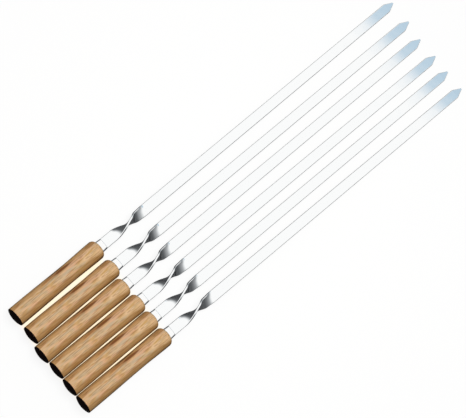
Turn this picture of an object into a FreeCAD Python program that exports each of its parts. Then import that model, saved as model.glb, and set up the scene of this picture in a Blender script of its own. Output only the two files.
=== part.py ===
"""A set of flat kebab skewers, each one a twisted steel strip in a turned wooden handle.

Lengths are in millimetres and angles in degrees. One skewer is modelled along its own axis: X runs from the
rear face of the handle towards the point, Y across the strip and Z up. The set lies on the ground, so each
skewer is tipped until its strip and the front swell of its handle touch the ground, and is then turned and
moved to its place in the row.
"""

import FreeCAD
import Part

import math
import os

# The strip that the blade is cut from. Its corners are rounded by a share of its thickness.
blade_width = 12.0
blade_thickness = 2.5
blade_corner_share = 0.28
blade_length = 501.5
point_length = 13.5
point_end_width = 1.8
point_end_thickness = 1.4

# The half turn near the handle.
twist_offset = 10.4
twist_length = 51.3
twist_turn = -180.0
twist_station_shares = (0.0, 0.10, 0.20, 0.34, 0.50, 0.60, 0.70, 0.85, 1.0)
twist_turn_shares = (0.0, 0.032, 0.17, 0.335, 0.525, 0.63, 0.795, 0.872, 1.0)
twist_section_count = 49

# The tang and its peened head.
tang_width = 7.0
peened_head_length = 1.6
peened_head_overlap = 0.8
peened_head_rounding = 0.6

# The turned handle.
handle_length = 110.0
handle_rear_radius = 10.2
handle_swell_radius = 10.25
handle_swell_share = 0.14
handle_waist_radius = 9.85
handle_waist_share = 0.62
handle_front_radius = 10.6
handle_shoulder_radius = 4.7
slot_clearance = 0.15

# The pocket in the handle's rear end, and the rove at the bottom of it.
pocket_radius = 7.0
pocket_depth = 7.0
rove_thickness = 1.5
rove_clearance = 0.3

# The domed cap over the pocket.
cap_rim_height = 0.5
cap_rim_rounding = 0.25
cap_dome_height = 2.15
plug_length = 5.0
plug_wall = 1.7
plug_clearance = 0.1

# The collar between the blade and the handle, flat above and below with round corners.
ferrule_length = 6.5
ferrule_rear_width = 13.3
ferrule_rear_height = 8.0
ferrule_front_width = 12.3
ferrule_front_height = 7.2
ferrule_corner = 2.2
ferrule_wall = 1.0
ferrule_front_wall = 1.2
ferrule_seat_depth = 1.5
ferrule_clearance = 0.1
ferrule_front_rounding = 0.4

# How the set lies: the gaps between neighbours' handles are given in least gaps, the setbacks of the rear
# ends in handle lengths, and the fan as each skewer's own angle in degrees.
handle_gap = 0.3
gap_shares = (9.6, 1.0, 1.0, 1.0, 1.0)
setback_shares = (0.035, 0.037, 0.0, 0.013, 0.007, 0.003)
fan_angles = (1.58, 0.88, 0.34, -0.36, -0.74, -1.35)

# One overrun serves every cut.
overrun = 5.0

# Stations along one skewer, worked out from the sizes above.
ferrule_front = handle_length + ferrule_length
ferrule_rear = handle_length - ferrule_seat_depth
point_end = ferrule_front + blade_length
point_start = point_end - point_length
twist_start = ferrule_front + twist_offset
twist_end = twist_start + twist_length
rove_rear = pocket_depth - rove_thickness
slot_width = tang_width + 2 * slot_clearance
slot_height = blade_thickness + 2 * slot_clearance

along = FreeCAD.Vector(1, 0, 0)
across = FreeCAD.Vector(0, 1, 0)
up = FreeCAD.Vector(0, 0, 1)


def disc(radius, start, length):
    """A round bar on the skewer's axis."""
    return Part.makeCylinder(radius, length, FreeCAD.Vector(start, 0, 0), along)


def bar(width, height, start, length):
    """A square-edged bar centred on the skewer's axis."""
    corner = FreeCAD.Vector(start, -width / 2, -height / 2)
    return Part.makeBox(length, width, height, corner)


def flat_section(station, width, height, corner, turn):
    """A section with four flat sides and round corners, turned about the axis."""
    half_width = width / 2
    half_height = height / 2
    inset = corner * (1 - math.sqrt(0.5))
    points = []
    for side in (1, -1):
        points.append(FreeCAD.Vector(station, side * (half_width - corner), -side * half_height))
        points.append(FreeCAD.Vector(station, side * (half_width - inset), -side * (half_height - inset)))
        points.append(FreeCAD.Vector(station, side * half_width, -side * (half_height - corner)))
        points.append(FreeCAD.Vector(station, side * half_width, side * (half_height - corner)))
        points.append(FreeCAD.Vector(station, side * (half_width - inset), side * (half_height - inset)))
        points.append(FreeCAD.Vector(station, side * (half_width - corner), side * half_height))
    edges = []
    for i in (0, 3, 6, 9):
        edges.append(Part.Arc(points[i], points[i + 1], points[i + 2]).toShape())
        edges.append(Part.LineSegment(points[i + 2], points[(i + 3) % 12]).toShape())
    wire = Part.Wire(edges)
    wire.rotate(FreeCAD.Vector(station, 0, 0), along, turn)
    return wire


def strip_section(station, width, thickness, turn):
    """The strip's own section."""
    return flat_section(station, width, thickness, blade_corner_share * thickness, turn)


def ferrule_section(station, inset):
    """The collar's section at a station, drawn in by an inset on every side."""
    share = (station - ferrule_rear) / (ferrule_front - ferrule_rear)
    width = ferrule_rear_width + (ferrule_front_width - ferrule_rear_width) * share
    height = ferrule_rear_height + (ferrule_front_height - ferrule_rear_height) * share
    return flat_section(station, width - 2 * inset, height - 2 * inset, ferrule_corner - inset, 0)


def turn_at(share):
    """The part of the half turn that is reached at a share of the twist's length.

    The turn follows a smooth curve through the named shares, level at both ends.
    """
    stations = twist_station_shares
    turns = twist_turn_shares
    last = len(stations) - 1
    slopes = [0.0] * (last + 1)
    for i in range(1, last):
        slopes[i] = (turns[i + 1] - turns[i - 1]) / (stations[i + 1] - stations[i - 1])
    i = 0
    while i < last - 1 and share > stations[i + 1]:
        i += 1
    span = stations[i + 1] - stations[i]
    t = (share - stations[i]) / span
    from_start = (1 + 2 * t) * (1 - t) ** 2 * turns[i] + t * (1 - t) ** 2 * span * slopes[i]
    from_end = t * t * (3 - 2 * t) * turns[i + 1] - t * t * (1 - t) * span * slopes[i + 1]
    return from_start + from_end


def make_blade():
    """The strip: short flat, half turn, long flat, point, tang and peened head."""
    shoulders, short_end, long_start, long_end = [
        strip_section(station, blade_width, blade_thickness, 0)
        for station in (ferrule_front, twist_start, twist_end, point_start)]
    short_flat = Part.makeLoft([shoulders, short_end], True, True)
    sections = []
    for i in range(twist_section_count):
        share = i / (twist_section_count - 1)
        station = twist_start + share * twist_length
        sections.append(strip_section(station, blade_width, blade_thickness, twist_turn * turn_at(share)))
    twist = Part.makeLoft(sections, True, False)
    long_flat = Part.makeLoft([long_start, long_end], True, True)
    end = strip_section(point_end, point_end_width, point_end_thickness, 0)
    point = Part.makeLoft([long_end, end], True, True)
    tang = bar(tang_width, blade_thickness, rove_rear, ferrule_front - rove_rear)
    head_width = tang_width + 2 * peened_head_overlap
    head_height = blade_thickness + 2 * peened_head_overlap
    head = bar(head_width, head_height, rove_rear - peened_head_length, peened_head_length)
    outer_edges = [e for e in head.Edges if e.BoundBox.XMax < rove_rear - peened_head_length / 2]
    head = head.makeFillet(peened_head_rounding, outer_edges)
    return short_flat.fuse([twist, long_flat, point, tang, head]).removeSplitter()


def make_ferrule():
    """The collar: a tapered shell with a slotted front wall, which the blade's shoulders seat on."""
    outside = Part.makeLoft(
        [ferrule_section(ferrule_rear, 0), ferrule_section(ferrule_front, 0)], True, True)
    front_edges = [e for e in outside.Edges if e.BoundBox.XMin > ferrule_front - ferrule_front_rounding]
    outside = outside.makeFillet(ferrule_front_rounding, front_edges)
    inside = Part.makeLoft(
        [ferrule_section(ferrule_rear - overrun, ferrule_wall),
         ferrule_section(ferrule_front - ferrule_front_wall, ferrule_wall)],
        True, True)
    slot = bar(slot_width, slot_height, ferrule_rear, ferrule_front - ferrule_rear + overrun)
    return outside.cut([inside, slot])


def make_handle():
    """The turned handle, with its slot, rear pocket, ferrule seat and nose."""
    swell_station = handle_swell_share * handle_length
    waist_station = handle_waist_share * handle_length
    shoulder_station = handle_length - handle_shoulder_radius
    face_radius = handle_front_radius - handle_shoulder_radius
    side = Part.BSplineCurve()
    side.interpolate(
        Points=[FreeCAD.Vector(0, 0, handle_rear_radius),
                FreeCAD.Vector(swell_station, 0, handle_swell_radius),
                FreeCAD.Vector(waist_station, 0, handle_waist_radius),
                FreeCAD.Vector(shoulder_station, 0, handle_front_radius)],
        Tangents=[along, along, along, along],
        TangentFlags=[False, True, True, True])
    slant = handle_shoulder_radius * math.sqrt(0.5)
    shoulder = Part.Arc(
        FreeCAD.Vector(shoulder_station, 0, handle_front_radius),
        FreeCAD.Vector(shoulder_station + slant, 0, face_radius + slant),
        FreeCAD.Vector(handle_length, 0, face_radius))
    outline = Part.Wire([
        side.toShape(),
        shoulder.toShape(),
        Part.makeLine(FreeCAD.Vector(handle_length, 0, face_radius), FreeCAD.Vector(handle_length, 0, 0)),
        Part.makeLine(FreeCAD.Vector(handle_length, 0, 0), FreeCAD.Vector(0, 0, 0)),
        Part.makeLine(FreeCAD.Vector(0, 0, 0), FreeCAD.Vector(0, 0, handle_rear_radius)),
    ])
    body = Part.Face(outline).revolve(FreeCAD.Vector(0, 0, 0), along, 360)
    seat_width = ferrule_rear_width + 2 * ferrule_clearance
    seat_height = ferrule_rear_height + 2 * ferrule_clearance
    seat = Part.makeLoft(
        [flat_section(station, seat_width, seat_height, ferrule_corner + ferrule_clearance, 0)
         for station in (ferrule_rear, handle_length + overrun)],
        True, True)
    nose_end = ferrule_front - ferrule_front_wall - ferrule_clearance
    nose = Part.makeLoft(
        [ferrule_section(station, ferrule_wall + ferrule_clearance) for station in (ferrule_rear, nose_end)],
        True, True)
    pocket = disc(pocket_radius, -overrun, pocket_depth + overrun)
    slot = bar(slot_width, slot_height, 0, point_end)
    return body.cut(seat).fuse(nose).cut([pocket, slot]).removeSplitter()


def make_rove():
    """The washer that the tang is peened over."""
    washer = disc(pocket_radius - rove_clearance, rove_rear, rove_thickness)
    return washer.cut(bar(slot_width, slot_height, 0, handle_length))


def make_end_cap():
    """The domed cap, with a hollow plug that fills the handle's rear pocket."""
    radius = handle_rear_radius
    dome_radius = (radius ** 2 + cap_dome_height ** 2) / (2 * cap_dome_height)
    half_angle = math.asin(radius / dome_radius) / 2
    crown = -cap_rim_height - cap_dome_height
    middle = FreeCAD.Vector(
        crown + dome_radius * (1 - math.cos(half_angle)), 0, dome_radius * math.sin(half_angle))
    rim_rear = FreeCAD.Vector(-cap_rim_height, 0, radius)
    outline = Part.Wire([
        Part.Arc(FreeCAD.Vector(crown, 0, 0), middle, rim_rear).toShape(),
        Part.makeLine(rim_rear, FreeCAD.Vector(0, 0, radius)),
        Part.makeLine(FreeCAD.Vector(0, 0, radius), FreeCAD.Vector(0, 0, 0)),
        Part.makeLine(FreeCAD.Vector(0, 0, 0), FreeCAD.Vector(crown, 0, 0)),
    ])
    dome = Part.Face(outline).revolve(FreeCAD.Vector(0, 0, 0), along, 360)
    rim = [e for e in dome.Edges if e.Length > math.pi * radius and e.BoundBox.XMax < -cap_rim_height / 2]
    dome = dome.makeFillet(cap_rim_rounding, rim)
    plug_radius = pocket_radius - plug_clearance
    plug = disc(plug_radius, 0, plug_length).cut(disc(plug_radius - plug_wall, 0, plug_length))
    return dome.fuse(plug).removeSplitter()


def lying_angle():
    """The angle at which the strip and the handle's front shoulder both touch the ground.

    The strip touches where its point starts, because the point thins towards its end. The shoulder is an arc,
    so it touches where the arc's centre is one radius above the ground.
    """
    run = point_start - (handle_length - handle_shoulder_radius)
    drop = handle_front_radius - handle_shoulder_radius - blade_thickness / 2
    return math.degrees(math.atan2(drop, run) + math.asin(handle_shoulder_radius / math.hypot(run, drop)))


def places():
    """Each skewer's place in the row, from the first to the last."""
    tilt = lying_angle()
    height = point_start * math.sin(math.radians(tilt)) + blade_thickness / 2 * math.cos(math.radians(tilt))
    offset = 0.0
    row = []
    for i, fan in enumerate(fan_angles):
        if i > 0:
            offset -= 2 * handle_swell_radius + gap_shares[i - 1] * handle_gap
        turn = FreeCAD.Rotation(up, fan) * FreeCAD.Rotation(across, tilt)
        corner = FreeCAD.Vector(setback_shares[i] * handle_length, offset, height)
        row.append(FreeCAD.Placement(corner, turn))
    return row


def build():
    """Makes each piece once, lays copies of it in the row and centres the set over its origin."""
    pieces = {
        "blade": make_blade(),
        "ferrule": make_ferrule(),
        "handle": make_handle(),
        "rove": make_rove(),
        "end_cap": make_end_cap(),
    }
    nodes = {}
    for number, place in enumerate(places(), start=1):
        for name, shape in pieces.items():
            copy = shape.copy()
            copy.Placement = place
            nodes[name + "_" + str(number)] = copy
    box = FreeCAD.BoundBox()
    for shape in nodes.values():
        box.add(shape.optimalBoundingBox(False, False))
    for shape in nodes.values():
        shape.translate(FreeCAD.Vector(-box.Center.x, -box.Center.y, -box.ZMin))
    return nodes


os.makedirs("parts", exist_ok=True)
for node, solid in build().items():
    solid.exportStep("parts/" + node + ".step")
    print(node, "solids", len(solid.Solids), "valid", solid.isValid(), "volume", round(solid.Volume, 1))
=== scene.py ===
"""Looks of six flat kebab skewers: polished strips with a half turn, in turned wooden handles.

Lengths are in metres, and sizes are written in millimetres times MM. A piece is shaped along one
skewer's own axis, with X running from the rear face of the handle to the point, Y across the
strip and Z up. It is then laid on each skewer of the row, where the frame's own blade lies.
"""

import logging
import math
from dataclasses import dataclass
from enum import Enum
from typing import Any, ClassVar, Iterable, Optional

import bmesh
import bpy
from mathutils import Matrix, Vector


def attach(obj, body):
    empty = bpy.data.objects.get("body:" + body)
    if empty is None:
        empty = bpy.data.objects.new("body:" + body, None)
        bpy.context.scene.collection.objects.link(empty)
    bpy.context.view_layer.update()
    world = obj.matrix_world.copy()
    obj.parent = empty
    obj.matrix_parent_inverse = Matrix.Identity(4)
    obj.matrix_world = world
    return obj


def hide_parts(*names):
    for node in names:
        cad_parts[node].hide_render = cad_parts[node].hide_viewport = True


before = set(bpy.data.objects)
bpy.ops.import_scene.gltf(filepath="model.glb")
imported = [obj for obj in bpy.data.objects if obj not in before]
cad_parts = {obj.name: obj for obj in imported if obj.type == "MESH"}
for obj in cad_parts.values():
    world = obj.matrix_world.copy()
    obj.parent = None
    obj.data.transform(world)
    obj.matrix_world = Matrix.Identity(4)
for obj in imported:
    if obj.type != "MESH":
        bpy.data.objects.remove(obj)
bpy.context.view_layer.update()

MM = 0.001
SET_SIZE = 6

# Every point of a new piece remembers here where it lies on its own skewer before it is bent or
# laid down, so that grain and polish run along the piece and look alike on all six.
OWN_PLACE = "own_place"

# Sockets of the Mix node when it mixes colours.
FACTOR, FIRST, SECOND, MIXED = 0, 6, 7, 2

# The part of its range that a noise mostly fills.
NOISE_BAND = (0.3, 0.7)

# The spacing of a Wave texture's rings at scale 1.
WAVE_SPACING = math.pi / 10

# How near a point lies to a plane that it is on, and to another one that it is the same as.
ON_PLANE = 1e-7
SAME_PLACE = 1e-6

Span = tuple[float, float]
Tree = bpy.types.NodeTree
Node = bpy.types.Node
Socket = bpy.types.NodeSocket
BMesh = bmesh.types.BMesh
Inputs = dict[Any, Any]

log = logging.getLogger("skewers")


class Slot(Enum):
    """The record's material slots."""

    BLADE = "polished_stainless"
    COLLAR = "polished_collar"
    HANDLE = "varnished_wood"
    ROVE = "plated_washer"
    CAP = "black_cap"


def linear(colour: str) -> tuple[float, float, float, float]:
    """Turns an sRGB hex colour into Blender's linear one.

    Args:
        colour: six hex digits after a hash.

    Returns:
        Red, green, blue and an alpha of 1.
    """
    parts = [int(colour[i:i + 2], 16) / 255 for i in (1, 3, 5)]
    red, green, blue = [p / 12.92 if p <= 0.04045 else ((p + 0.055) / 1.055) ** 2.4 for p in parts]
    return red, green, blue, 1.0


def feed(tree: Tree, node: Node, inputs: Inputs) -> None:
    """Gives a node's inputs their values and links.

    Args:
        tree: the node's tree.
        node: the node.
        inputs: for each input, by name or number, a value or the socket that feeds it.
    """
    for key, value in inputs.items():
        if isinstance(value, Socket):
            tree.links.new(value, node.inputs[key])
        else:
            node.inputs[key].default_value = value


def add_node(tree: Tree, kind: str, inputs: Optional[Inputs] = None, **settings: Any) -> Node:
    """Adds a node with its settings, its values and its links.

    Args:
        tree: the node tree that gets it.
        kind: the node's type.
        inputs: its inputs, as feed takes them.
        **settings: properties of the node itself.

    Returns:
        The new node.
    """
    node = tree.nodes.new(kind)
    for name, value in settings.items():
        setattr(node, name, value)
    feed(tree, node, inputs or {})
    return node


def combined(tree: Tree, operation: str, *values: Any) -> Socket:
    """Works on values with a Math node. Args: the tree, the operation and the values or sockets."""
    node = add_node(tree, "ShaderNodeMath", dict(enumerate(values)), operation=operation)
    return node.outputs["Value"]


def mixed(tree: Tree, share: Any, first: Any, second: Any, blend: str = "MIX") -> Socket:
    """Mixes two colours. Args: the tree, the second's share, the colours and the way of mixing."""
    return add_node(tree, "ShaderNodeMix", {FACTOR: share, FIRST: first, SECOND: second},
                    data_type="RGBA", blend_type=blend).outputs[MIXED]


def mapped(tree: Tree, value: Socket, start: float, end: float, low: Any = 0.0, high: Any = 1.0,
           soft: bool = False) -> Socket:
    """Maps a value from one range to another, and holds it there.

    Args:
        tree: the node tree.
        value: the value.
        start: the value that gives low.
        end: the value that gives high, which may be the smaller one.
        low: what comes out at start.
        high: what comes out at end.
        soft: whether it leaves both ends softly.

    Returns:
        The socket with the mapped value.
    """
    return add_node(tree, "ShaderNodeMapRange", {
        "Value": value, "From Min": start, "From Max": end, "To Min": low, "To Max": high},
        interpolation_type="SMOOTHSTEP" if soft else "LINEAR").outputs["Result"]


def stretched(tree: Tree, place: Socket, share: float) -> Socket:
    """Draws a pattern out along the skewer. Args: the tree, the place and what multiplies X."""
    return add_node(tree, "ShaderNodeMapping", {"Vector": place, "Scale": (share, 1, 1)},
                    vector_type="POINT").outputs["Vector"]


def noise(tree: Tree, place: Socket, width: float, detail: float,
          length: Optional[float] = None) -> Node:
    """Adds a noise, which can be drawn out along the skewer.

    Args:
        tree: the node tree.
        place: the socket of the piece's own place.
        width: about how wide its spots are.
        detail: how many finer layers it has.
        length: about how long its spots are, if they aren't as long as wide.

    Returns:
        The noise.
    """
    if length is not None:
        place = stretched(tree, place, width / length)
    return add_node(tree, "ShaderNodeTexNoise", {
        "Vector": place, "Scale": 1 / width, "Detail": detail})


def bump(tree: Tree, height: Socket, depth: float, strength: float = 1.0,
         sunk: bool = False) -> Socket:
    """Adds relief. Args: the tree, the relief, its depth and strength, and whether it is sunk."""
    return add_node(tree, "ShaderNodeBump", {
        "Strength": strength, "Distance": depth, "Height": height}, invert=sunk).outputs["Normal"]


def set_stops(ramp: Node, stops: Iterable[tuple[float, str]]) -> None:
    """Gives a colour ramp its stops.

    Args:
        ramp: the Color Ramp node.
        stops: pairs of a position and a hex colour, in order.
    """
    elements = ramp.color_ramp.elements
    for i, (position, colour) in enumerate(stops):
        element = elements[i] if i < 2 else elements.new(position)
        element.position = position
        element.color = linear(colour)


@dataclass(frozen=True)
class Finish:
    """A finish of the set. Each kind draws its own nodes around one Principled shader."""

    name: ClassVar[str] = ""
    slot: ClassVar[Slot]

    def draw(self, tree: Tree, shader: Node, place: Socket) -> None:
        """Adds the finish's nodes. Args: the tree, its shader, and the socket of the own place."""
        raise NotImplementedError

    def make(self, lies: Optional[Matrix] = None, label: str = "") -> bpy.types.Material:
        """Makes the material.

        Args:
            lies: where the skewer lies, for a frame's node, whose points lack their own place.
            label: what the name ends with.

        Returns:
            The material.
        """
        material = bpy.data.materials.new(self.name + label)
        material.use_nodes = True
        tree = material.node_tree
        shader = tree.nodes["Principled BSDF"]
        if lies is None:
            place = add_node(tree, "ShaderNodeAttribute",
                             attribute_name=OWN_PLACE).outputs["Vector"]
        else:
            world = add_node(tree, "ShaderNodeTexCoord").outputs["Object"]
            place = add_node(tree, "ShaderNodeMapping", {
                "Vector": world, "Location": lies.translation, "Rotation": lies.to_euler()},
                vector_type="TEXTURE").outputs["Vector"]
        self.draw(tree, shader, place)
        return material


@dataclass(frozen=True)
class PolishedStainless(Finish):
    """Cold-rolled stainless strip, buffed bright along its length.

    It mirrors the room cleanly, with faint lengthwise lines from the buffing wheel and a little
    haze where it was handled.
    """

    name: ClassVar[str] = "buffed_stainless_strip"
    slot: ClassVar[Slot] = Slot.BLADE
    colour: str = "#fafbfb"
    roughness: Span = (0.04, 0.09)
    line_width: float = 0.25 * MM
    line_length: float = 30 * MM
    line_depth: float = 0.0006 * MM
    haze_size: float = 18 * MM
    haze_band: Span = (0.35, 0.75)

    def draw(self, tree: Tree, shader: Node, place: Socket) -> None:
        """Adds the buffing lines and the haze."""
        lines = noise(tree, place, self.line_width, 3.0, self.line_length).outputs["Fac"]
        haze = noise(tree, place, self.haze_size, 2.0).outputs["Fac"]
        feed(tree, shader, {
            "Base Color": linear(self.colour), "Metallic": 1.0,
            "Roughness": mapped(tree, haze, *self.haze_band, *self.roughness),
            "Normal": bump(tree, lines, self.line_depth)})


@dataclass(frozen=True)
class DrawnCollar(Finish):
    """Pressed stainless collar, tumbled bright: light as the strip, softer in what it mirrors."""

    name: ClassVar[str] = "tumbled_stainless_collar"
    slot: ClassVar[Slot] = Slot.COLLAR
    colour: str = "#fcfcfb"
    roughness: Span = (0.08, 0.15)
    grain_size: float = 0.5 * MM
    grain_depth: float = 0.002 * MM

    def draw(self, tree: Tree, shader: Node, place: Socket) -> None:
        """Adds the tumbled grain."""
        grain = noise(tree, place, self.grain_size, 3.0).outputs["Fac"]
        feed(tree, shader, {
            "Base Color": linear(self.colour), "Metallic": 1.0,
            "Roughness": mapped(tree, grain, *NOISE_BAND, *self.roughness),
            "Normal": bump(tree, grain, self.grain_depth)})


@dataclass(frozen=True)
class Mark:
    """A soft long mark on the upper side of the handle, for streaks and painted reflections.

    Attributes:
        station: its middle along the handle.
        side: its middle across the handle.
        half_length: how far it reaches along the grain.
        half_width: how far it reaches across the grain.
        colour: its hex colour.
        share: how strongly it shows.
    """

    station: float
    side: float
    half_length: float
    half_width: float
    colour: str
    share: float


@dataclass(frozen=True)
class VarnishedBeech(Finish):
    """Turned beech under a thin warm varnish.

    The growth rings of a flat-sawn blank run along the handle: wide and pale on top, and golden
    brown down the -Y side, a tone of the wood that also paints the shade on that side. Painted
    shade in dark brown outlines both flanks and the front end. Small patches lean to pink, grey
    and gold, thin dark lines follow the grain, and the heartwood shows as reddish-brown streaks
    on one shoulder of the upper side. Two grey marks along the middle of the top are a painted
    reflection in the varnish.
    """

    name: ClassVar[str] = "varnished_beech"
    slot: ClassVar[Slot] = Slot.HANDLE
    pale: str = "#d4af83"
    ring: str = "#c1955f"
    ring_stops: tuple[float, ...] = (0.0, 0.62, 0.93, 1.0)
    ring_spacing: float = 2.6 * MM
    pith_depth: float = 38 * MM
    pith_side: float = 5 * MM
    wander: float = 0.6 * MM
    cloud_size: float = 9 * MM
    drawn_out: float = 0.12
    patches: tuple[tuple[str, str, float], ...] = (
        ("Red", "#b98d45", 0.65), ("Green", "#d7a27f", 0.55), ("Blue", "#bca887", 0.65))
    patch_width: float = 3.2 * MM
    patch_length: float = 12 * MM
    patch_band: Span = (0.47, 0.67)
    # The gold of the -Y flank is the wood's tone and, darker than the wood, painted shade on that
    # side.
    gold: str = "#9f743c"
    gold_and_shade_flank: Span = (-3.0 * MM, -5.2 * MM)
    brown: str = "#c7985f"
    brown_flank: Span = (4.6 * MM, 6.4 * MM)
    flank_share: float = 0.7
    line: str = "#875c30"
    line_width: float = 1.0 * MM
    line_length: float = 13 * MM
    line_depth: float = 0.04 * MM
    line_band: Span = (0.48, 0.68)
    line_share: float = 0.5
    # Painted shade: dark brown outlines along both flanks, near the full radius, and round the
    # front end.
    edge: str = "#4f2f10"
    edges: tuple[tuple[str, Span, float], ...] = (
        ("Y", (-8.5 * MM, -9.7 * MM), 0.75), ("Y", (9.0 * MM, 10.1 * MM), 0.5),
        ("X", (108.4 * MM, 110.2 * MM), 0.6))
    mark_fray: float = 1.6
    mark_band: Span = (1.9, 1.2)
    mark_depth: float = 1000.0
    marks: tuple[Mark, ...] = (
        # The first two marks, grey along the middle of the top, are a painted reflection of a grey
        # stripe in the varnish.
        Mark(61 * MM, 0.8 * MM, 20 * MM, 2.2 * MM, "#bba68a", 0.6),
        Mark(18 * MM, 1.2 * MM, 18 * MM, 1.7 * MM, "#b9a588", 0.5),
        Mark(79 * MM, 3.6 * MM, 11 * MM, 2.4 * MM, "#dba888", 0.45),
        Mark(105 * MM, -4.0 * MM, 10 * MM, 3.0 * MM, "#dab688", 0.65),
        Mark(91 * MM, -0.6 * MM, 7 * MM, 1.6 * MM, "#ecc9a1", 0.6),
        Mark(78 * MM, -5.4 * MM, 12 * MM, 1.3 * MM, "#a5834a", 0.5),
        Mark(103 * MM, 7.4 * MM, 7 * MM, 1.8 * MM, "#96683c", 0.5),
        Mark(46 * MM, 7.0 * MM, 12 * MM, 1.2 * MM, "#a2683f", 0.65),
        Mark(8 * MM, 7.3 * MM, 9 * MM, 0.6 * MM, "#8a5e34", 0.6),
        Mark(64 * MM, 6.7 * MM, 11 * MM, 1.5 * MM, "#743d1b", 0.9),
        Mark(56 * MM, 8.9 * MM, 18 * MM, 0.9 * MM, "#4e3016", 0.75))
    roughness: Span = (0.42, 0.55)
    line_strength: float = 0.6
    index: float = 1.5
    sheen: float = 0.3
    coat: float = 0.05
    coat_roughness: float = 0.3

    def draw(self, tree: Tree, shader: Node, place: Socket) -> None:
        """Adds rings, patches, flanks, marks, lines, painted shade on the edges, and varnish."""
        along = stretched(tree, place, self.drawn_out)
        bend = noise(tree, along, self.cloud_size, 2.0).outputs
        own = add_node(tree, "ShaderNodeSeparateXYZ", {"Vector": place}).outputs
        patches = noise(tree, place, self.patch_width, 1.0, self.patch_length).outputs
        patch = add_node(tree, "ShaderNodeSeparateColor", {"Color": patches["Color"]}).outputs
        lines = noise(tree, place, self.line_width, 1.0, self.line_length).outputs["Fac"]
        line_share = mapped(tree, lines, *self.line_band, 0.0, self.line_share, soft=True)
        drift = self.wander * 2
        frayed = combined(tree, "MULTIPLY_ADD", bend["Fac"], drift * 2, own["Y"])
        tints = [(mapped(tree, patch[channel], *self.patch_band, 0.0, most, soft=True), tint)
                 for channel, tint, most in self.patches]
        # The -Y flank's gold is partly the wood's tone and partly painted shade on that side.
        for tint, (start, end) in ((self.gold, self.gold_and_shade_flank), (self.brown, self.brown_flank)):
            share = mapped(tree, frayed, start + drift, end + drift, 0.0, self.flank_share,
                           soft=True)
            tints.append((share, tint))
        # Two of the marks, grey along the top, are painted reflection in the varnish.
        tints += [(self.mark(tree, place, mark, bend["Fac"]), mark.colour) for mark in self.marks]
        tints.append((line_share, self.line))
        # Painted shade: dark outlines along both flanks and round the front end.
        tints += [(mapped(tree, own[axis], *reach, 0.0, most, soft=True), self.edge)
                  for axis, reach, most in self.edges]
        colour = self.rings(tree, along, bend["Color"])
        for share, tint in tints:
            colour = mixed(tree, share, colour, linear(tint))
        feed(tree, shader, {
            "Base Color": colour,
            "Roughness": mapped(tree, patches["Fac"], *NOISE_BAND, *self.roughness),
            "Normal": bump(tree, line_share, self.line_depth, self.line_strength, sunk=True),
            "IOR": self.index, "Specular IOR Level": self.sheen, "Coat Weight": self.coat,
            "Coat Roughness": self.coat_roughness})

    def rings(self, tree: Tree, along: Socket, clouds: Socket) -> Socket:
        """Draws the growth rings round a pith that lies below the handle.

        Args:
            tree: the material's tree.
            along: the place, drawn out along the grain.
            clouds: a colour noise that bends the rings.

        Returns:
            The rings' colour.
        """
        shift = add_node(tree, "ShaderNodeVectorMath", {
            0: clouds, 1: (0.5, 0.5, 0.5)}, operation="SUBTRACT")
        bent = add_node(tree, "ShaderNodeVectorMath", {
            0: shift.outputs["Vector"], 1: (0, self.wander * 2, self.wander * 2), 2: along},
            operation="MULTIPLY_ADD")
        from_pith = add_node(tree, "ShaderNodeVectorMath", {
            0: bent.outputs["Vector"], 1: (0, -self.pith_side, self.pith_depth)}, operation="ADD")
        rings = add_node(tree, "ShaderNodeTexWave", {
            "Vector": from_pith.outputs["Vector"], "Scale": WAVE_SPACING / self.ring_spacing,
            "Distortion": 0.0}, wave_type="RINGS", rings_direction="X", wave_profile="SAW")
        ring_colour = add_node(tree, "ShaderNodeValToRGB", {"Fac": rings.outputs["Fac"]})
        set_stops(ring_colour, zip(self.ring_stops, (self.pale, self.pale, self.ring, self.pale)))
        return ring_colour.outputs["Color"]

    def mark(self, tree: Tree, place: Socket, mark: Mark, wobble: Socket) -> Socket:
        """Draws a mark as a soft long oval that goes down through the upper half of the wood.

        Args:
            tree: the material's tree.
            place: the socket of the piece's own place.
            mark: the mark.
            wobble: a noise that frays the oval's edge.

        Returns:
            The socket with the mark's share.
        """
        centred = add_node(tree, "ShaderNodeMapping", {
            "Vector": place, "Location": (mark.station, mark.side, 0),
            "Scale": (mark.half_length, mark.half_width, self.mark_depth)}, vector_type="TEXTURE")
        reach = add_node(tree, "ShaderNodeVectorMath", {
            0: centred.outputs["Vector"]}, operation="LENGTH")
        frayed = combined(tree, "MULTIPLY_ADD", wobble, self.mark_fray, reach.outputs["Value"])
        share = mapped(tree, frayed, *self.mark_band, 0.0, mark.share, soft=True)
        height = add_node(tree, "ShaderNodeSeparateXYZ", {"Vector": place}).outputs["Z"]
        return combined(tree, "MULTIPLY", share, combined(tree, "GREATER_THAN", height, 0.0))


@dataclass(frozen=True)
class PlatedWasher(Finish):
    """Zinc-plated steel: a soft grey metal with cloudy spangle."""

    name: ClassVar[str] = "zinc_plated_steel"
    slot: ClassVar[Slot] = Slot.ROVE
    light: str = "#c3c6ca"
    dark: str = "#a9adb3"
    roughness: float = 0.38
    spangle_size: float = 2 * MM

    def draw(self, tree: Tree, shader: Node, place: Socket) -> None:
        """Adds the spangle."""
        spangle = add_node(tree, "ShaderNodeTexVoronoi", {
            "Vector": place, "Scale": 1 / self.spangle_size}).outputs["Distance"]
        feed(tree, shader, {
            "Base Color": mixed(tree, spangle, linear(self.light), linear(self.dark)),
            "Metallic": 1.0, "Roughness": self.roughness})


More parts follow.
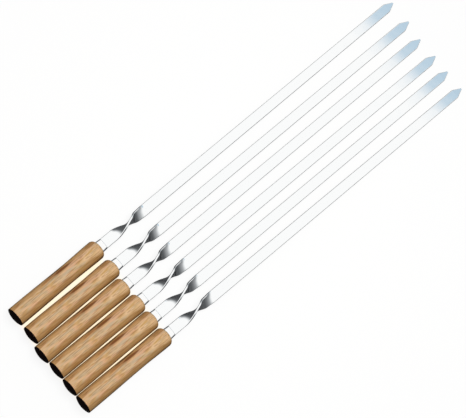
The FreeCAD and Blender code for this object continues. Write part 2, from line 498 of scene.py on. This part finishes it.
@dataclass(frozen=True)
class MouldedCap(Finish):
    """Black polypropylene, moulded with a fine matt skin: very dark, with a dull soft sheen."""

    name: ClassVar[str] = "moulded_polypropylene"
    slot: ClassVar[Slot] = Slot.CAP
    colour: str = "#0d0303"
    worn: str = "#140707"
    roughness: Span = (0.52, 0.65)
    scuff_size: float = 12 * MM
    skin_size: float = 0.25 * MM
    skin_depth: float = 0.01 * MM
    skin_strength: float = 0.5
    index: float = 1.49
    sheen: float = 0.1

    def draw(self, tree: Tree, shader: Node, place: Socket) -> None:
        """Adds the moulded skin and its scuffs."""
        skin = noise(tree, place, self.skin_size, 2.0).outputs["Fac"]
        scuffs = noise(tree, place, self.scuff_size, 3.0).outputs["Fac"]
        feed(tree, shader, {
            "Base Color": mixed(tree, scuffs, linear(self.colour), linear(self.worn)),
            "Roughness": mapped(tree, scuffs, *NOISE_BAND, *self.roughness),
            "Normal": bump(tree, skin, self.skin_depth, self.skin_strength),
            "IOR": self.index, "Specular IOR Level": self.sheen})


@dataclass(frozen=True)
class Stations:
    """Places along one skewer that several pieces share, from the handle's rear face."""

    handle_length: float = 110 * MM
    collar_length: float = 6.5 * MM
    collar_seat: float = 1.5 * MM
    blade_length: float = 501.5 * MM
    point_length: float = 13.5 * MM
    pocket_depth: float = 7 * MM
    rove_thickness: float = 1.5 * MM

    @property
    def collar_front(self) -> float:
        """Where the blade's shoulders sit on the collar."""
        return self.handle_length + self.collar_length

    @property
    def collar_rear(self) -> float:
        """Where the collar ends in its seat in the handle."""
        return self.handle_length - self.collar_seat

    @property
    def point_end(self) -> float:
        """The very end of the point."""
        return self.collar_front + self.blade_length

    @property
    def point_start(self) -> float:
        """Where the strip starts to narrow."""
        return self.point_end - self.point_length

    @property
    def rove_rear(self) -> float:
        """Where the tang is peened over the rove."""
        return self.pocket_depth - self.rove_thickness


def remember_places(bm: BMesh) -> None:
    """Writes each point's own place into the piece's attribute."""
    layer = bm.verts.layers.float_vector.new(OWN_PLACE)
    for vert in bm.verts:
        vert[layer] = vert.co


def spread(low: float, high: float, count: int) -> list[float]:
    """Evenly spaced values from low to high. Args: the two ends and how many values."""
    return [low + (high - low) * i / (count - 1) for i in range(count)]


def pull(bm: BMesh, faces: list[bmesh.types.BMFace], move: float,
         grow: Span = (1.0, 1.0), keep: bool = False) -> list[bmesh.types.BMFace]:
    """Extrudes joined faces along the skewer.

    Args:
        bm: the mesh.
        faces: the faces to pull, which join each other.
        move: how far the new faces go along X.
        grow: what their width and height are multiplied by.
        keep: whether the faces stay behind, as the other end of what they are pulled into.

    Returns:
        The new faces.
    """
    made = bmesh.ops.extrude_face_region(bm, geom=faces)["geom"]
    verts = [item for item in made if isinstance(item, bmesh.types.BMVert)]
    bmesh.ops.scale(bm, verts=verts, vec=(1, grow[0], grow[1]))
    bmesh.ops.translate(bm, verts=verts, vec=(move, 0, 0))
    if not keep:
        bmesh.ops.delete(bm, geom=faces, context="FACES_ONLY")
    return [item for item in made if isinstance(item, bmesh.types.BMFace)]


def cut(bm: BMesh, place: tuple[float, float, float], normal: tuple[float, float, float],
        start: float) -> None:
    """Cuts a loop into the part of a mesh that lies past a station.

    Args:
        bm: the mesh.
        place: a point of the cutting plane.
        normal: the plane's direction.
        start: faces whose centre lies before this station are left whole.
    """
    faces = [f for f in bm.faces if f.calc_center_median().x >= start]
    edges = {e for f in faces for e in f.edges}
    verts = {v for f in faces for v in f.verts}
    bmesh.ops.bisect_plane(bm, geom=[*verts, *edges, *faces], dist=ON_PLANE, plane_co=place,
                           plane_no=normal)


def rounded(bm: BMesh, parts: list[Any], radius: float, steps: int, kind: str = "EDGES") -> None:
    """Rounds edges or corners. Args: the mesh, its parts, the radius, the steps and their kind."""
    bmesh.ops.bevel(bm, geom=parts, offset=radius, segments=steps, profile=0.5, affect=kind,
                    material=-1)


def flat_section(bm: BMesh, station: float, size: Span, corner: float,
                 steps: int) -> bmesh.types.BMFace:
    """Draws a section across the axis, with four flat sides and round corners.

    Args:
        bm: the mesh.
        station: where along the skewer.
        size: its width and its height.
        corner: the corners' radius.
        steps: how many edges make up each corner.

    Returns:
        The section as one face.
    """
    before = set(bm.faces)
    made = bmesh.ops.create_grid(bm, x_segments=1, y_segments=1, size=0.5,
                                 matrix=Matrix.Translation((station, 0, 0))
                                 @ Matrix.Rotation(math.pi / 2, 4, "Y")
                                 @ Matrix.Diagonal((size[1], size[0], 1, 1)))
    if corner > 0:
        rounded(bm, made["verts"], corner, steps, "VERTICES")
    return [face for face in bm.faces if face not in before][0]


@dataclass
class Piece:
    """A piece that every skewer has: shaped once on its own axis, then laid on each one in turn."""

    stations: Stations
    finish: Finish
    label: ClassVar[str] = ""
    node: ClassVar[str] = ""
    sharp_angle: ClassVar[float] = 32.0
    mirrored: ClassVar[bool] = True

    def shape(self) -> BMesh:
        """Shapes the piece on the skewer's own axis."""
        raise NotImplementedError

    def mesh(self) -> bpy.types.Mesh:
        """Turns the shape into a smooth mesh whose true edges stay sharp."""
        bm = self.shape()
        bmesh.ops.recalc_face_normals(bm, faces=bm.faces)
        for face in bm.faces:
            face.smooth = True
        mesh = bpy.data.meshes.new(self.label)
        bm.to_mesh(mesh)
        bm.free()
        mesh.set_sharp_from_angle(angle=math.radians(self.sharp_angle))
        mesh.materials.append(self.finish.make())
        return mesh

    def lay(self, mesh: bpy.types.Mesh, number: int, lies: Matrix) -> bpy.types.Object:
        """Lays a copy of the piece on one skewer.

        Args:
            mesh: the piece's mesh on its own axis.
            number: which skewer of the row.
            lies: where that skewer lies.

        Returns:
            The piece, riding on its body in place of the frame's node.
        """
        copy = mesh.copy()
        copy.transform(lies)
        piece = bpy.data.objects.new(f"{self.label}_{number}", copy)
        bpy.context.scene.collection.objects.link(piece)
        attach(piece, f"skewer_{number}")
        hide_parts(f"{self.node}_{number}")
        piece.visible_glossy = self.mirrored
        return piece


@dataclass
class Blade(Piece):
    """The steel strip: shoulders, half turn, long flat and point, with its tang and peened head."""

    label: ClassVar[str] = "polished_blade"
    node: ClassVar[str] = "blade"
    # The photograph repeats one skewer that was taken alone, so the strips don't mirror each other.
    mirrored: ClassVar[bool] = False
    width: float = 12 * MM
    thickness: float = 2.5 * MM
    corner_share: float = 0.28
    corner_steps: int = 5
    support: float = 0.15 * MM
    point_support: float = 0.4 * MM
    point_end_width: float = 1.8 * MM
    point_end_thickness: float = 1.4 * MM
    twist_offset: float = 10.4 * MM
    twist_length: float = 51.3 * MM
    twist_turn: float = -180.0
    twist_rings: int = 105
    flat_rings: int = 9
    station_shares: tuple[float, ...] = (0.0, 0.10, 0.20, 0.34, 0.50, 0.60, 0.70, 0.85, 1.0)
    turn_shares: tuple[float, ...] = (0.0, 0.032, 0.17, 0.335, 0.525, 0.63, 0.795, 0.872, 1.0)
    tang_width: float = 7 * MM
    head_length: float = 1.6 * MM
    head_overlap: float = 0.8 * MM
    head_rounding: float = 0.6 * MM
    head_steps: int = 3

    @property
    def corner(self) -> float:
        """The radius of the strip's corners."""
        return self.corner_share * self.thickness

    @property
    def twist_start(self) -> float:
        """Where the half turn starts."""
        return self.stations.collar_front + self.twist_offset

    def turn_at(self, station: float) -> float:
        """How far the strip is turned at a station.

        Args:
            station: the place along the skewer.

        Returns:
            The angle in radians, on a smooth curve through the named shares, level at both ends.
        """
        share = min(max((station - self.twist_start) / self.twist_length, 0.0), 1.0)
        stops, turns = self.station_shares, self.turn_shares
        last = len(stops) - 1
        inner = [(turns[i + 1] - turns[i - 1]) / (stops[i + 1] - stops[i - 1])
                 for i in range(1, last)]
        slopes = [0.0, *inner, 0.0]
        i = 0
        while i < last - 1 and share > stops[i + 1]:
            i += 1
        span = stops[i + 1] - stops[i]
        t = (share - stops[i]) / span
        from_start = (1 + 2 * t) * (1 - t) ** 2 * turns[i] + t * (1 - t) ** 2 * span * slopes[i]
        from_end = t * t * (3 - 2 * t) * turns[i + 1] - t * t * (1 - t) * span * slopes[i + 1]
        return math.radians(self.twist_turn * (from_start + from_end))

    def shape(self) -> BMesh:
        """Draws the straight blank, cuts it into loops, points it and turns it."""
        bm = self.blank()
        self.cut_loops(bm)
        remember_places(bm)
        self.narrow_point(bm)
        for vert in bm.verts:
            if vert.co.x > self.twist_start:
                vert.co = Matrix.Rotation(self.turn_at(vert.co.x), 3, "X") @ vert.co
        return bm

    def blank(self) -> BMesh:
        """Draws the straight strip with its round corners, its tang and its peened head."""
        front = self.stations.collar_front
        half_tang = self.tang_width / 2
        bm = bmesh.new()
        end = flat_section(bm, front, (self.width, self.thickness), self.corner, self.corner_steps)
        pull(bm, [end], self.stations.blade_length, keep=True)
        for side in (-half_tang, half_tang):
            cut(bm, (0, side, 0), (0, 1, 0), front - MM)
        rear = [f for f in bm.faces if f.calc_center_median().x < front + self.support
                and abs(f.calc_center_median().y) < half_tang]
        tang = pull(bm, rear, self.stations.rove_rear - front)
        head_grow = (1 + 2 * self.head_overlap / self.tang_width,
                     1 + 2 * self.head_overlap / self.thickness)
        step = pull(bm, tang, 0.0, head_grow)
        head = pull(bm, step, -self.head_length)
        rim = {e for f in head for e in f.edges if len([g for g in e.link_faces if g in head]) == 1}
        rounded(bm, list(rim), self.head_rounding, self.head_steps)
        return bm

    def cut_loops(self, bm: BMesh) -> None:
        """Cuts the strip into columns that keep its sides flat, and into rings that let it turn."""
        front = self.stations.collar_front
        flat_y = self.width / 2 - self.corner - self.support
        flat_z = self.thickness / 2 - self.corner - self.support
        for y in (-flat_y, -self.width / 6, 0.0, self.width / 6, flat_y):
            cut(bm, (0, y, 0), (0, 1, 0), front)
        for z in (-flat_z, flat_z):
            cut(bm, (0, 0, z), (0, 0, 1), front + self.support)
        point_start = self.stations.point_start
        twist_end = self.twist_start + self.twist_length
        rings = spread(self.twist_start, twist_end, self.twist_rings)
        rings += spread(twist_end, point_start - self.point_support, self.flat_rings)[1:]
        rings += [point_start, point_start + self.point_support]
        for x in rings:
            cut(bm, (x, 0, 0), (1, 0, 0), front)

    def narrow_point(self, bm: BMesh) -> None:
        """Draws the strip's end in to the point, which thins as it narrows."""
        thin = self.point_end_thickness / self.thickness
        flat, end_flat = self.width / 2 - self.corner, self.point_end_width / 2 - self.corner * thin
        for vert in bm.verts:
            share = (vert.co.x - self.stations.point_start) / self.stations.point_length
            if share > 0:
                reach = abs(vert.co.y)
                end_reach = min(reach, flat) * end_flat / flat + max(reach - flat, 0.0) * thin
                vert.co.y = math.copysign(reach + (end_reach - reach) * share, vert.co.y)
                vert.co.z *= 1 + (thin - 1) * share


@dataclass
class EndCap(Piece):
    """The domed cap on the handle's rear end, with the hollow plug that holds it."""

    label: ClassVar[str] = "domed_cap"
    node: ClassVar[str] = "end_cap"
    radius: float = 10.2 * MM
    rim_height: float = 0.5 * MM
    dome_height: float = 2.15 * MM
    rim_rounding: float = 0.225 * MM
    rim_steps: int = 3
    plug_radius: float = 6.9 * MM
    plug_wall: float = 1.7 * MM
    plug_length: float = 5 * MM
    dome_steps: int = 14
    turn_steps: int = 96

    def shape(self) -> BMesh:
        """Draws the outline from the crown to the plug's floor and turns it about the axis."""
        bm = bmesh.new()
        dome_radius = (self.radius ** 2 + self.dome_height ** 2) / (2 * self.dome_height)
        crown = -self.rim_height - self.dome_height
        start = bmesh.ops.create_vert(bm, co=(crown, 0, 0))["vert"][0]
        swept = bmesh.ops.spin(bm, geom=[start], cent=(crown + dome_radius, 0, 0), axis=(0, 1, 0),
                               angle=math.asin(self.radius / dome_radius), steps=self.dome_steps)
        last = [item for item in swept["geom_last"] if isinstance(item, bmesh.types.BMVert)][0]
        inner = self.plug_radius - self.plug_wall
        for x, z in ((0, self.radius), (0, self.plug_radius), (self.plug_length, self.plug_radius),
                     (self.plug_length, inner), (0, inner), (0, 0)):
            last = bmesh.ops.extrude_vert_indiv(bm, verts=[last])["verts"][0]
            last.co = (x, 0, z)
        bmesh.ops.spin(bm, geom=[*bm.verts, *bm.edges], cent=(0, 0, 0), axis=(1, 0, 0),
                       angle=math.tau, steps=self.turn_steps, use_merge=True)
        bmesh.ops.remove_doubles(bm, verts=bm.verts, dist=SAME_PLACE)
        rounded(bm, [e for e in bm.edges if self.on_rim(e)], self.rim_rounding, self.rim_steps)
        remember_places(bm)
        return bm

    def on_rim(self, edge: bmesh.types.BMEdge) -> bool:
        """True for an edge that goes round the cap at its full radius."""
        ends = [Vector((0, v.co.y, v.co.z)).length for v in edge.verts]
        level = abs(edge.verts[0].co.x - edge.verts[1].co.x) < SAME_PLACE
        return level and min(ends) > self.radius - SAME_PLACE


@dataclass
class Collar(Piece):
    """The collar between blade and handle: a tapered shell, flat above and below, with a slot."""

    label: ClassVar[str] = "steel_collar"
    node: ClassVar[str] = "ferrule"
    rear_width: float = 13.3 * MM
    rear_height: float = 8 * MM
    front_width: float = 12.3 * MM
    front_height: float = 7.2 * MM
    corner: float = 2.2 * MM
    corner_steps: int = 10
    wall: float = 1.0 * MM
    front_wall: float = 1.2 * MM
    rounding: float = 0.4 * MM
    rounding_steps: int = 5
    slot_width: float = 7.3 * MM
    slot_height: float = 2.8 * MM

    def loop(self, bm: BMesh, station: float, size: Span,
             corner: float) -> list[bmesh.types.BMEdge]:
        """Draws an outline across the axis.

        Args:
            bm: the mesh.
            station: where along the skewer.
            size: its width and its height.
            corner: the corners' radius, or nothing for square ones.

        Returns:
            The outline's edges.
        """
        face = flat_section(bm, station, size, corner, self.corner_steps)
        edges = list(face.edges)
        bmesh.ops.delete(bm, geom=[face], context="FACES_ONLY")
        return edges

    def outline(self, station: float, inset: float = 0.0,
                place: Optional[float] = None) -> tuple[float, Span, float]:
        """Works out the collar's own outline.

        Args:
            station: where along the skewer.
            inset: how far it is drawn in on every side.
            place: the station whose size it has, if that is another one.

        Returns:
            The outline's station, its width and height, and its corners' radius.
        """
        rear, front = self.stations.collar_rear, self.stations.collar_front
        share = ((station if place is None else place) - rear) / (front - rear)
        width = self.rear_width + (self.front_width - self.rear_width) * share
        height = self.rear_height + (self.front_height - self.rear_height) * share
        return station, (width - 2 * inset, height - 2 * inset), self.corner - inset

    def shape(self) -> BMesh:
        """Joins outlines from the seat over the rounded front, through the slot and back inside."""
        rear, front = self.stations.collar_rear, self.stations.collar_front
        inside = front - self.front_wall
        slot = (self.slot_width, self.slot_height)
        outlines = [self.outline(rear)]
        for turn in spread(0, math.pi / 2, self.rounding_steps):
            station = front - self.rounding * (1 - math.sin(turn))
            outlines.append(self.outline(station, self.rounding * (1 - math.cos(turn)), front))
        outlines += [(front, slot, 0.0), (inside, slot, 0.0), self.outline(inside, self.wall),
                     self.outline(rear, self.wall)]
        bm = bmesh.new()
        for first, second in zip(outlines, outlines[1:] + outlines[:1]):
            bmesh.ops.bridge_loops(bm, edges=self.loop(bm, *first) + self.loop(bm, *second))
        bmesh.ops.remove_doubles(bm, verts=bm.verts, dist=SAME_PLACE)
        remember_places(bm)
        return bm


class Skewer:
    """One skewer of the row: where it lies, and the frame's nodes that keep their own shape."""

    end_reach: ClassVar[float] = 0.1 * MM
    rounds: ClassVar[int] = 4

    def __init__(self, number: int, stations: Stations) -> None:
        """Finds where the skewer lies.

        Args:
            number: which skewer of the row.
            stations: the places along it.
        """
        self.number = number
        self.lies = self.find_place(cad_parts[f"blade_{number}"], stations)

    @classmethod
    def find_place(cls, blade: bpy.types.Object, stations: Stations) -> Matrix:
        """Works out the skewer's place from its blade.

        Args:
            blade: the frame's blade.
            stations: the places along it.

        Returns:
            The matrix from the skewer's own axes to the row.
        """
        points = [vert.co.copy() for vert in blade.data.vertices]
        axis = Vector((1, 0, 0))
        ends = [Vector(), Vector()]
        for _ in range(cls.rounds):
            reach = [point.dot(axis) for point in points]
            for i, limit in enumerate((min(reach), max(reach))):
                near = [p for p, r in zip(points, reach) if abs(r - limit) < cls.end_reach]
                low = Vector([min(p[k] for p in near) for k in range(3)])
                high = Vector([max(p[k] for p in near) for k in range(3)])
                ends[i] = (low + high) / 2
            axis = (ends[1] - ends[0]).normalized()
        across = Vector((0, 0, 1)).cross(axis).normalized()
        up = axis.cross(across)
        corner = ends[1] - axis * stations.point_end
        return Matrix.Translation(corner) @ Matrix((axis, across, up)).transposed().to_4x4()

    def dress(self, node: str, material: bpy.types.Material) -> None:
        """Gives one of the frame's nodes its finish. Args: the node's name and the material."""
        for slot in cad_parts[f"{node}_{self.number}"].material_slots:
            slot.material = material


@dataclass
class Studio:
    """A pale floor under a wide soft light, with the camera where the photograph was taken from."""

    camera_place: tuple[float, float, float] = (-0.5075, -0.00187, 0.94192)
    camera_tilt: float = 26.144
    camera_roll: float = 39.7118
    lens: float = 73.777
    film_width: float = 36.0
    floor_size: float = 6.0
    floor_colour: str = "#f7f7f5"
    bounce_colour: str = "#6b6965"
    # Painted warm bounce light between the handles: a cream emission on the floor, up to brighter
    # than white.
    painted_bounce_colour: str = "#ffebc8"
    painted_bounce_strength: float = 1.25
    gap_reach: float = 12 * MM
    gap_samples: int = 8
    gap_front: Span = (-184 * MM, -196 * MM)
    gap_rear: Span = (-311 * MM, -302 * MM)
    gap_side: Span = (51 * MM, 48 * MM)
    gap_shade: Span = (0.62, 0.3)
    white: str = "#ffffff"
    sky_blue: str = "#bed4e4"
    blue_ends: Span = (0.6555, 0.668)
    blue_side: Span = (0.15, 0.08)
    low_sky: tuple[tuple[float, str], ...] = (
        (0.03, "#57595b"), (0.19, "#717375"), (0.355, "#a9abad"), (0.52, "#e2e4e5"),
        (0.68, "#ffffff"))
    lean: float = 0.3
    fill_colour: str = "#fbfaf8"
    fill_strength: float = 0.34
    lamp_size: float = 0.8
    lamp_height: float = 1.3
    lamp_power: float = 13.8
    shadow_share: float = 0.11
    shadow_reach: Span = (0.5, 1.0)
    card_colour: str = "#4a4b4d"
    card_size: Span = (5.9, 5.9)
    card_height: float = 0.1 * MM

    def build(self) -> None:
        """Sets up the floor, the card, the lamp, the sky and the camera."""
        self.floor()
        self.card()
        self.lamp()
        self.sky()
        self.camera()

    def plane(self, name: str, width: float, depth: float, height: float,
              material: bpy.types.Material) -> bpy.types.Object:
        """Adds a flat plane that isn't part of the object.

        Args:
            name: its name.
            width: its size along X.
            depth: its size along Y.
            height: how far it lies above the ground.
            material: what it is made of.

        Returns:
            The plane.
        """
        bm = bmesh.new()
        place = Matrix.Translation((0, 0, height)) @ Matrix.Diagonal((width, depth, 1, 1))
        bmesh.ops.create_grid(bm, x_segments=1, y_segments=1, size=0.5, matrix=place)
        mesh = bpy.data.meshes.new(name)
        bm.to_mesh(mesh)
        bm.free()
        mesh.materials.append(material)
        plane = bpy.data.objects.new(name, mesh)
        bpy.context.scene.collection.objects.link(plane)
        return plane

    def floor(self) -> None:
        """Lays the floor: pale paper, lifted to the white of the background where it is looked at.

        It keeps the row's soft shadow, and fades to plain white away from the row. In the narrow
        gaps between the handles it carries painted warm bounce light: a cream emission, up to
        brighter than white, where little sky reaches the paper.
        """
        material = bpy.data.materials.new("pale_paper")
        material.use_nodes = True
        tree = material.node_tree
        tree.nodes.clear()
        path = add_node(tree, "ShaderNodeLightPath").outputs
        seen = combined(tree, "MAXIMUM", path["Is Camera Ray"], path["Is Glossy Ray"])
        seen = combined(tree, "MAXIMUM", seen, path["Is Transmission Ray"])
        paper = add_node(tree, "ShaderNodeBsdfDiffuse", {
            "Color": mixed(tree, seen, linear(self.bounce_colour), linear(self.floor_colour))})
        place = add_node(tree, "ShaderNodeTexCoord").outputs["Object"]
        parts = add_node(tree, "ShaderNodeSeparateXYZ", {"Vector": place}).outputs
        side = combined(tree, "ABSOLUTE", parts["Y"])
        # Painted bounce light: where little sky reaches the floor between the handles, it glows
        # cream and brighter than white.
        painted_bounce: Any = 1.0
        for value, reach in ((parts["X"], self.gap_front), (parts["X"], self.gap_rear),
                             (side, self.gap_side)):
            painted_bounce = mapped(tree, value, *reach, 0.0, painted_bounce)
        open_sky = add_node(tree, "ShaderNodeAmbientOcclusion", {
            "Distance": self.gap_reach}, samples=self.gap_samples)
        painted_bounce = mapped(tree, open_sky.outputs["AO"], *self.gap_shade, 0.0, painted_bounce, soft=True)
        painted_bounce_glow = add_node(tree, "ShaderNodeEmission", {
            "Color": mixed(tree, painted_bounce, linear(self.white), linear(self.painted_bounce_colour)),
            "Strength": mapped(tree, painted_bounce, 0.0, 1.0, 1.0, self.painted_bounce_strength)})
        distance = add_node(tree, "ShaderNodeVectorMath", {0: place}, operation="LENGTH")
        lifted = mapped(tree, distance.outputs["Value"], *self.shadow_reach,
                        1 - self.shadow_share, 1.0, soft=True)
        surface = add_node(tree, "ShaderNodeMixShader", {
            0: combined(tree, "MULTIPLY", seen, lifted), 1: paper.outputs["BSDF"],
            2: painted_bounce_glow.outputs["Emission"]})
        add_node(tree, "ShaderNodeOutputMaterial", {"Surface": surface.outputs["Shader"]})
        self.plane("floor", self.floor_size, self.floor_size, 0.0, material)

    def card(self) -> None:
        """Lays a dark card under the row, which only the polished steel mirrors.

        A bright strip on bright paper loses its form, so a photographer shades what its flanks
        mirror. The card does that: the turned and rounded flanks go dark, as in the photograph.
        """
        material = bpy.data.materials.new("dark_card")
        material.use_nodes = True
        tree = material.node_tree
        feed(tree, tree.nodes["Principled BSDF"], {
            "Base Color": linear(self.card_colour), "Roughness": 1.0})
        card = self.plane("card", *self.card_size, self.card_height, material)
        card.visible_camera = False
        card.visible_diffuse = False
        card.visible_transmission = False
        card.visible_shadow = False

    def lamp(self) -> None:
        """Hangs a large soft lamp over the row."""
        light = bpy.data.lights.new("softbox", "AREA")
        light.shape = "DISK"
        light.size = self.lamp_size
        light.energy = self.lamp_power
        lamp = bpy.data.objects.new("softbox", light)
        lamp.location = (0.0, 0.0, self.lamp_height)
        lamp.visible_glossy = False
        bpy.context.scene.collection.objects.link(lamp)

    def sky(self) -> None:
        """Paints the room.

        It is white for the camera and an even fill for the light. For mirrors it is a white
        ceiling that turns pale blue well down towards both ends of the row and darkens at the
        floor's edge.
        """
        world = bpy.data.worlds.new("studio")
        bpy.context.scene.world = world
        world.use_nodes = True
        tree = world.node_tree
        tree.nodes.clear()
        towards = add_node(tree, "ShaderNodeTexCoord").outputs["Generated"]
        parts = add_node(tree, "ShaderNodeSeparateXYZ", {"Vector": towards}).outputs
        blue = combined(tree, "MULTIPLY", *(
            mapped(tree, combined(tree, "ABSOLUTE", parts[axis]), *reach, soft=True)
            for axis, reach in (("X", self.blue_ends), ("Y", self.blue_side))))
        ceiling = mixed(tree, blue, linear(self.white), linear(self.sky_blue))
        away = combined(tree, "MINIMUM", parts["Y"], 0.0)
        low = add_node(tree, "ShaderNodeValToRGB", {
            "Fac": combined(tree, "MULTIPLY_ADD", away, self.lean, parts["Z"])})
        set_stops(low, self.low_sky)
        mirrored = mixed(tree, 1.0, ceiling, low.outputs["Color"], "MULTIPLY")
        fill = [part * self.fill_strength for part in linear(self.fill_colour)[:3]] + [1.0]
        path = add_node(tree, "ShaderNodeLightPath").outputs
        mirror = combined(tree, "MAXIMUM", path["Is Glossy Ray"], path["Is Transmission Ray"])
        colour = mixed(tree, mirror, fill, mirrored)
        colour = mixed(tree, path["Is Camera Ray"], colour, linear(self.white))
        back = add_node(tree, "ShaderNodeBackground", {"Color": colour, "Strength": 1.0})
        add_node(tree, "ShaderNodeOutputWorld", {"Surface": back.outputs["Background"]})

    def camera(self) -> None:
        """Puts the camera behind the handles, looking down along the row, rolled like the photo."""
        tilt, roll = math.radians(self.camera_tilt), math.radians(self.camera_roll)
        look = Vector((math.sin(tilt), 0, -math.cos(tilt)))
        top = Vector((math.cos(tilt), 0, math.sin(tilt)))
        side = Vector((0, -1, 0))
        right = top * math.cos(roll) + side * math.sin(roll)
        up = top * math.sin(roll) - side * math.cos(roll)
        data = bpy.data.cameras.new("camera")
        data.lens = self.lens
        data.sensor_width = self.film_width
        camera = bpy.data.objects.new("camera", data)
        camera.matrix_world = (Matrix.Translation(self.camera_place)
                               @ Matrix((right, up, -look)).transposed().to_4x4())
        bpy.context.scene.collection.objects.link(camera)
        bpy.context.scene.camera = camera


def main() -> None:
    """Builds the studio and the six skewers."""
    logging.basicConfig(level=logging.INFO, format="%(name)s: %(message)s")
    bpy.context.scene.view_settings.view_transform = "Standard"
    Studio().build()
    stations = Stations()
    row = [Skewer(number, stations) for number in range(1, SET_SIZE + 1)]
    for piece in (Blade(stations, PolishedStainless()), Collar(stations, DrawnCollar()),
                  EndCap(stations, MouldedCap())):
        mesh = piece.mesh()
        log.info("%s: %d points, %d faces", piece.label, len(mesh.vertices), len(mesh.polygons))
        for skewer in row:
            laid = piece.lay(mesh, skewer.number, skewer.lies)
            log.info("%s laid on skewer_%d", laid.name, skewer.number)
    wood, washer = VarnishedBeech(), PlatedWasher()
    for skewer in row:
        skewer.dress("handle", wood.make(skewer.lies, f"_{skewer.number}"))
        skewer.dress("rove", washer.make(skewer.lies, f"_{skewer.number}"))
        log.info("handle_%d and rove_%d dressed", skewer.number, skewer.number)


if __name__ == "__main__":
    main()
